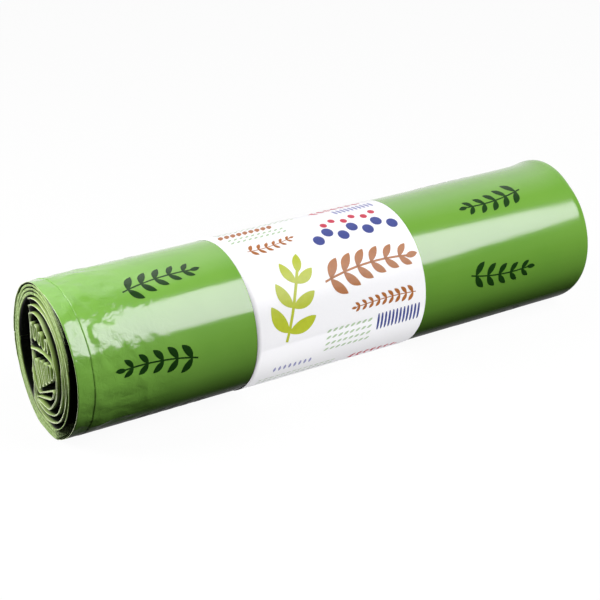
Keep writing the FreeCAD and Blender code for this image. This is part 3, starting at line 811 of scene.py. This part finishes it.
def printed_marks_tree():
    """Lays each mark on the surface that it is printed on, as a thin layer of ink. A mark narrows
    from its middle to nearly a point at both ends, more sharply with more taper."""
    tree, given, out = new_group(
        "printed_marks",
        [("Marks", "Geometry"), ("Surface", "Object"), ("Radius", "Float"), ("Stand-off", "Float"),
         ("Thickness", "Float"), ("Ink", "Material")],
        ("Print", "Geometry"),
    )
    position = add_node(tree, "GeometryNodeInputPosition")
    block = add_node(
        tree, "GeometryNodeMeshCube",
        {"Size": (1.0, 1.0, 1.0), "Vertices X": 15, "Vertices Y": 5, "Vertices Z": 2},
    )
    kept = add_node(
        tree, "GeometryNodeStoreNamedAttribute", {"Geometry": block, "Name": "in_mark", "Value": position},
        data_type="FLOAT_VECTOR", domain="POINT",
    )
    marks = add_node(tree, "GeometryNodeInstanceOnPoints", {"Points": given["Marks"], "Instance": kept})
    real = add_node(tree, "GeometryNodeRealizeInstances", {0: marks})
    turn, length, width, taper, bend = [
        add_node(tree, "GeometryNodeInputNamedAttribute", {"Name": label}, data_type="FLOAT")
        for label in MARK_SHAPE
    ]
    in_mark = add_node(
        tree, "GeometryNodeInputNamedAttribute", {"Name": "in_mark"}, data_type="FLOAT_VECTOR"
    )
    x, y, z = add_node(tree, "ShaderNodeSeparateXYZ", {0: in_mark}).outputs
    centre = add_node(tree, "ShaderNodeVectorMath", {0: position, 1: in_mark}, "SUBTRACT")

    # A little under 2, so that a mark's ends keep some width.
    off_middle = add_node(tree, "ShaderNodeMath", {0: x, 1: 1.96}, "MULTIPLY")
    squared = add_node(tree, "ShaderNodeMath", {0: off_middle, 1: 2.0}, "POWER")
    bow = add_node(tree, "ShaderNodeMath", {0: 1.0, 1: squared}, "SUBTRACT")
    outline = add_node(tree, "ShaderNodeMath", {0: bow, 1: taper}, "POWER")
    ahead = add_node(tree, "ShaderNodeMath", {0: x, 1: length}, "MULTIPLY")
    spread = add_node(tree, "ShaderNodeMath", {0: y, 1: width}, "MULTIPLY")
    outlined = add_node(tree, "ShaderNodeMath", {0: spread, 1: outline}, "MULTIPLY")
    aside = add_node(tree, "ShaderNodeMath", {0: bow, 1: bend, 2: outlined}, "MULTIPLY_ADD")
    straight = add_node(tree, "ShaderNodeCombineXYZ", {"X": ahead, "Y": aside})
    turned = add_node(
        tree, "ShaderNodeVectorRotate", {"Vector": straight, "Angle": turn}, rotation_type="Z_AXIS"
    )
    flat = add_node(tree, "ShaderNodeVectorMath", {0: centre, 1: turned}, "ADD")
    flat_x, flat_y, flat_z = add_node(tree, "ShaderNodeSeparateXYZ", {0: flat}).outputs

    angle = add_node(tree, "ShaderNodeMath", {0: flat_y, 1: given["Radius"]}, "DIVIDE")
    outward = add_node(
        tree, "ShaderNodeVectorRotate", {"Vector": (0.0, -1.0, 0.0), "Angle": angle},
        rotation_type="X_AXIS", invert=True,
    )
    on_axis = add_node(tree, "ShaderNodeCombineXYZ", {"X": flat_x, "Y": AXIS_Y, "Z": AXIS_Z})
    outside = add_node(tree, "ShaderNodeVectorMath", {0: outward, "Scale": 2 * ROLL_RADIUS}, "SCALE")
    start = add_node(tree, "ShaderNodeVectorMath", {0: on_axis, 1: outside}, "ADD")
    inward = add_node(tree, "ShaderNodeVectorMath", {0: outward, "Scale": -1.0}, "SCALE")
    surface = add_node(tree, "GeometryNodeObjectInfo", {"Object": given["Surface"]})
    ray = add_node(
        tree, "GeometryNodeRaycast",
        {"Target Geometry": surface.outputs["Geometry"], "Source Position": start, "Ray Direction": inward,
         "Ray Length": 2 * ROLL_RADIUS},
    )
    hit = ray.outputs["Hit Position"]
    height = add_node(
        tree, "ShaderNodeMath", {0: z, 1: given["Thickness"], 2: given["Stand-off"]},
        "MULTIPLY_ADD",
    )
    lift = add_node(tree, "ShaderNodeVectorMath", {0: outward, "Scale": height}, "SCALE")
    final = add_node(tree, "ShaderNodeVectorMath", {0: hit, 1: lift}, "ADD")
    laid = add_node(tree, "GeometryNodeSetPosition", {"Geometry": real, "Position": final})
    inked = add_node(tree, "GeometryNodeSetMaterial", {0: laid, "Material": given["Ink"]})
    tree.links.new(inked.outputs[0], out["Print"])
    return tree


def sprig(along, round_way, turn, length, leaf, pairs, bend=0.0):
    """The marks of a sprig: a stem, pairs of leaves that shorten towards its tip, and a leaf there."""
    marks = [(0.0, 0.0, 0.0, length, leaf * 0.09, 0.0, bend)]
    for pair in range(pairs):
        share = (pair + 0.4) / pairs
        foot = ((share - 0.5) * length, bend * 4 * share * (1 - share))
        size = leaf * (1.0 - 0.35 * share)
        for side in (1, -1):
            lean = side * math.radians(52.0 - 12.0 * share)
            centre = (foot[0] + size / 2 * math.cos(lean), foot[1] + size / 2 * math.sin(lean))
            marks.append((*centre, lean, size, size * 0.42, 0.9, side * size * 0.06))
    marks.append((length / 2 + leaf * 0.2, 0.0, 0.0, leaf * 0.6, leaf * 0.27, 0.9, 0.0))
    return [
        (
            along + x * math.cos(turn) - y * math.sin(turn),
            round_way + x * math.sin(turn) + y * math.cos(turn),
            turn + own_turn, *shape,
        )
        for x, y, own_turn, *shape in marks
    ]


INK_PATCH = 2.5 * MM


def ink_material(name, code, deep_code, roughness):
    """A thin layer of printing ink, a little patchy, with the gloss of what it lies on."""
    made, tree, shader = new_material(name, {"Roughness": roughness})
    add_patches(tree, shader, INK_PATCH, 3.0, code, deep_code)
    return made


printed_marks = printed_marks_tree()


def printed(name, marks, surface, radius, ink):
    """A piece of these marks, printed on a finished piece."""
    return made_plain(marks_object(name, marks), printed_marks, {
        "Surface": surface, "Radius": radius, "Stand-off": INK_STAND_OFF, "Thickness": INK_THICKNESS,
        "Ink": ink,
    })


sprig_marks = []
for row in range(SPRIG_ROWS):
    side = 1 if row % 2 else -1
    row_height = FIRST_ROW + row * TURN_LENGTH / SPRIG_ROWS
    for column, way in ((LEFT_COLUMN, 1), (RIGHT_COLUMN, -1)):
        facing = 0.0 if side * way > 0 else math.pi
        sprig_marks += sprig(
            column + side * SPRIG_STAGGER, row_height, facing + side * SPRIG_TURN,
            SPRIG_LENGTH, SPRIG_LEAF, SPRIG_PAIRS, side * SPRIG_BEND,
        )
green_ink = ink_material("dark green printing ink", "#1d4314", "#16360f", 0.2)
film_print = printed("film_print", sprig_marks, outermost_ply, ROLL_RADIUS, green_ink)
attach(film_print, "root")


# The paper band
# One sheet of white coated label paper, wrapped round the roll and glued over its own start on the
# far side.

PAPER_THICKNESS = 0.15 * MM
GLUE_GAP = 0.02 * MM
PAPER_CLEARANCE = 0.1 * MM
PAPER_OVERLAP = 14.0 * MM
PAPER_TOOTH = 1.2 * MM


def paper_material():
    """Coated label paper: white with a faint cool cast, half matt, with a fine tooth."""
    made, tree, shader = new_material("white coated label paper", {"Roughness": 0.4})
    tooth = add_patches(tree, shader, PAPER_TOOTH, 5.0, "#f1f0f4", "#f6f6f8")
    bump = add_node(tree, "ShaderNodeBump", {"Height": tooth, "Strength": 0.1, "Distance": 0.05 * MM})
    tree.links.new(bump.outputs[0], shader.inputs["Normal"])
    return made


paper = paper_material()
paper_radius = ROLL_RADIUS + PAPER_CLEARANCE + PAPER_THICKNESS / 2
overlap_lift = PAPER_THICKNESS + GLUE_GAP
overlap_radius = paper_radius + overlap_lift
paper_path = arc((AXIS_Y, AXIS_Z), paper_radius, 0.0, math.pi)
paper_path += bottom_half(
    (AXIS_Y + overlap_lift / 2, AXIS_Z), paper_radius + overlap_lift / 2, AXIS_Z - PAPER_THICKNESS / 2,
    FLANK_RADIUS,
)
paper_path += arc((AXIS_Y, AXIS_Z), overlap_radius, 0.0, PAPER_OVERLAP / overlap_radius)
paper_path = without_doubles(paper_path)
paper_band = path_object("paper_sheet", paper_path, BAND_LEFT, BAND_RIGHT, 0.1 * MM, 20.0, 80 * MM)
made_plain(paper_band, wound_sheet, {
    "Thickness": PAPER_THICKNESS, "Stations": 60,
    "Surface": paper, "Inner surface": paper, "Cut edge": paper,
})
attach(paper_band, "root")
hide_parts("paper_band")


# The band print
# Printing inks on the paper: brown branches, olive leaves, blue and red berries and rows of small
# pale leaves. The design comes twice round the band, and the strip that lies below is bare.

DESIGN_REPEATS = 2
DESIGN_PITCH = 117.0 * MM


def row_of_marks(count, along, round_way, pitch, turn, length, width, taper=0.9):
    """Like marks side by side along the roll. Places and sizes are in millimetres."""
    return [
        ((along + place * pitch) * MM, round_way * MM, turn, length * MM, width * MM, taper, 0.0)
        for place in range(count)
    ]


def berries(count, along, round_way, pitch, rise, size):
    """Round marks along the roll, every other one raised. Places and sizes are in millimetres."""
    return [
        (
            (along + place * pitch) * MM, (round_way + place % 2 * rise) * MM,
            0.0, size * MM, size * MM, 0.5, 0.0,
        )
        for place in range(count)
    ]


UPRIGHT = math.pi / 2
brown_marks = sprig(13 * MM, 25 * MM, 0.05, 58 * MM, 14 * MM, 6, 3 * MM)
brown_marks += sprig(-38 * MM, 55 * MM, 0.1, 30 * MM, 5.5 * MM, 6, -1.5 * MM)
brown_marks += row_of_marks(9, -58, 74, 4, UPRIGHT - 0.5, 7, 3)
brown_marks += sprig(22 * MM, 5 * MM, math.pi, 42 * MM, 6 * MM, 9, -1 * MM)
olive_marks = sprig(-38 * MM, 15 * MM, 1.2, 42 * MM, 20 * MM, 3, 1.5 * MM)
blue_marks = berries(7, -8, 49, 8.5, 4.5, 7.0)
blue_marks += row_of_marks(12, 17, -8, 2.6, UPRIGHT, 11, 1.5, 0.3)
red_marks = berries(6, 2, 60, 7, 2.5, 4.2)
red_marks += sprig(22 * MM, -37 * MM, 0.0, 34 * MM, 4.5 * MM, 7, 1 * MM)
pale_marks = []
for row in range(4):
    pale_marks += row_of_marks(8, -17, -5 - 4.4 * row, 4, 0.5, 3.6, 1.5)
for row in range(2):
    pale_marks += row_of_marks(10, -56, 64 + 3.6 * row, 3.8, 0.5, 3.4, 1.3)
    pale_marks += row_of_marks(14, -56, -33 - 4 * row, 3.8, 0.3, 3.0, 0.9)
violet_marks = row_of_marks(10, 18, 72, 2.8, UPRIGHT, 6, 1.7, 0.3)
violet_marks += row_of_marks(8, -50, -24, 3.4, UPRIGHT, 4.5, 1.6)

band_prints = []
for colour, code, deep_code, marks in (
    ("brown", "#b06a2c", "#9a5a26", brown_marks),
    ("olive", "#bcc72f", "#a9b427", olive_marks),
    ("blue", "#434e96", "#374182", blue_marks),
    ("red", "#c93550", "#b52c46", red_marks),
    ("pale_green", "#b4cba8", "#a4bd98", pale_marks),
    ("violet", "#9a9cc6", "#8b8dba", violet_marks),
):
    all_round = [
        (along, round_way + repeat * DESIGN_PITCH, *shape)
        for repeat in range(DESIGN_REPEATS)
        for along, round_way, *shape in marks
    ]
    ink = ink_material(f"{colour} printing ink", code, deep_code, 0.45)
    band_prints.append(printed(f"{colour}_print", all_round, paper_band, paper_radius, ink))
for piece in band_prints:
    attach(piece, "root")


# The studio
# A pale floor that is white to the eye and takes the roll's shadow, a round soft box to the near
# right, softer ones overhead and on the left, and the camera at the photograph's angle.

FLOOR_SIZE = 6.0
FLOOR_WHITENESS = 0.95
WHITE = linear("#ffffff")

# The eye sees the floor nearly white. So does the film's gloss behind the roll, but in front of it
# the gloss and the roll's lower side meet a dark floor, which keeps the green deep there.
DARK_FLOOR_FROM = -0.03
DARK_FLOOR_TO = 0.04

half = FLOOR_SIZE / 2
floor_mesh = bpy.data.meshes.new("floor")
floor_corners = [(-half, -half, 0), (half, -half, 0), (half, half, 0), (-half, half, 0)]
floor_mesh.from_pydata(floor_corners, [], [(0, 1, 2, 3)])
floor = new_object("floor", floor_mesh)
floor_paint, tree, shader = new_material("pale studio floor", {
    "Base Color": linear("#f6f6f6"), "Roughness": 0.9, "Specular IOR Level": 0.0,
})
glow = add_node(tree, "ShaderNodeEmission", {"Color": WHITE, "Strength": 1.0})
pale_floor = add_node(tree, "ShaderNodeMixShader", {0: FLOOR_WHITENESS, 1: shader, 2: glow})
where = add_node(tree, "ShaderNodeTexCoord").outputs["Object"]
x, y, z = add_node(tree, "ShaderNodeSeparateXYZ", {0: where}).outputs
behind = add_node(tree, "ShaderNodeMapRange", {"Value": y, 1: DARK_FLOOR_FROM, 2: DARK_FLOOR_TO})
tone = add_node(
    tree, "ShaderNodeMix", {0: behind, 6: linear("#141414"), 7: linear("#d8d8d8")}, data_type="RGBA"
)
toned_floor = add_node(tree, "ShaderNodeBsdfDiffuse", {"Color": tone.outputs[2]})
seen_by = add_node(tree, "ShaderNodeLightPath").outputs
in_gloss = add_node(tree, "ShaderNodeMath", {0: seen_by["Is Glossy Ray"], 1: behind}, "MULTIPLY")
shown_pale = add_node(tree, "ShaderNodeMath", {0: in_gloss, 1: seen_by["Is Camera Ray"]}, "MAXIMUM")
floor_shown = add_node(tree, "ShaderNodeMixShader", {0: shown_pale, 1: toned_floor, 2: pale_floor})
tree.links.new(floor_shown.outputs[0], tree.nodes["Material Output"].inputs["Surface"])
floor_mesh.materials.append(floor_paint)

# The world is white to the eye and in gloss and glass that face its back, and lights dimly.
WORLD_FILL = 0.08

world = bpy.data.worlds.new("studio")
world.use_nodes = True
bpy.context.scene.world = world
sky = world.node_tree
sky.nodes.clear()
fill = add_node(sky, "ShaderNodeBackground", {"Color": WHITE, "Strength": WORLD_FILL})
backdrop = add_node(sky, "ShaderNodeBackground", {"Color": WHITE, "Strength": 1.0})
sky_way = add_node(sky, "ShaderNodeTexCoord").outputs["Generated"]
x, y, z = add_node(sky, "ShaderNodeSeparateXYZ", {0: sky_way}).outputs
sky_behind = add_node(sky, "ShaderNodeMapRange", {"Value": y, 1: 0.0, 2: 0.5})
seen_by = add_node(sky, "ShaderNodeLightPath").outputs
mirrored = add_node(
    sky, "ShaderNodeMath", {0: seen_by["Is Glossy Ray"], 1: seen_by["Is Transmission Ray"]},
    "MAXIMUM",
)
mirrored_back = add_node(sky, "ShaderNodeMath", {0: mirrored, 1: sky_behind}, "MULTIPLY")
shown_white = add_node(sky, "ShaderNodeMath", {0: mirrored_back, 1: seen_by["Is Camera Ray"]}, "MAXIMUM")
sky_shown = add_node(sky, "ShaderNodeMixShader", {0: shown_white, 1: fill, 2: backdrop})
add_node(sky, "ShaderNodeOutputWorld", {"Surface": sky_shown})


def soft_box(name, place, aim, width, height, radiance, shape="RECTANGLE"):
    """A lamp that faces its aim, with an even radiance over its face."""
    data = bpy.data.lights.new(name, "AREA")
    data.shape = shape
    data.size = width
    data.size_y = height
    face = width * height * (math.pi / 4 if shape == "DISK" else 1.0)
    data.energy = radiance * math.pi * face
    lamp = new_object(name, data)
    lamp.location = place
    lamp.rotation_euler = (Vector(aim) - Vector(place)).to_track_quat("-Z", "Y").to_euler()
    lamp.visible_camera = False
    return lamp


roll_middle = Vector((0.0, AXIS_Y, AXIS_Z))
soft_box("key_box", (0.466, -0.708, 0.766), roll_middle, 0.93, 0.93, 6.6, shape="DISK")
soft_box("top_box", (0.0, 0.35, 1.2), roll_middle, 1.0, 0.7, 0.6)
soft_box("left_box", (-0.7, 0.25, 0.45), (-0.17, 0.0, 0.05), 0.4, 0.4, 13.0)

# The white floor throws light back up at the paper, which the dark front of the floor can't do.
bounce = soft_box("bounce_on_paper", (0.0, -0.35, -0.6), roll_middle, 0.8, 0.4, 6.5)
lit_by_bounce = bpy.data.collections.new("lit by the bounce")
for piece in (paper_band, *band_prints):
    lit_by_bounce.objects.link(piece)
bounce.light_linking.receiver_collection = lit_by_bounce
bounce.light_linking.blocker_collection = lit_by_bounce

CAMERA_DISTANCE = 989.24 * MM
CAMERA_AZIMUTH = math.radians(-33.458)
CAMERA_ELEVATION = math.radians(23.763)
CAMERA_AIM = Vector((-8.25 * MM, AXIS_Y, 37.69 * MM))
CAMERA_LENS = 101.83
camera_data = bpy.data.cameras.new("camera")
camera_data.lens = CAMERA_LENS
camera_data.sensor_width = 36.0
camera = new_object("camera", camera_data)
camera_way = Vector((
    math.sin(CAMERA_AZIMUTH) * math.cos(CAMERA_ELEVATION),
    -math.cos(CAMERA_AZIMUTH) * math.cos(CAMERA_ELEVATION),
    math.sin(CAMERA_ELEVATION),
))
camera.location = CAMERA_AIM + camera_way * CAMERA_DISTANCE
camera.rotation_euler = (-camera_way).to_track_quat("-Z", "Y").to_euler()
bpy.context.scene.camera = camera
bpy.context.scene.view_settings.view_transform = "Standard"
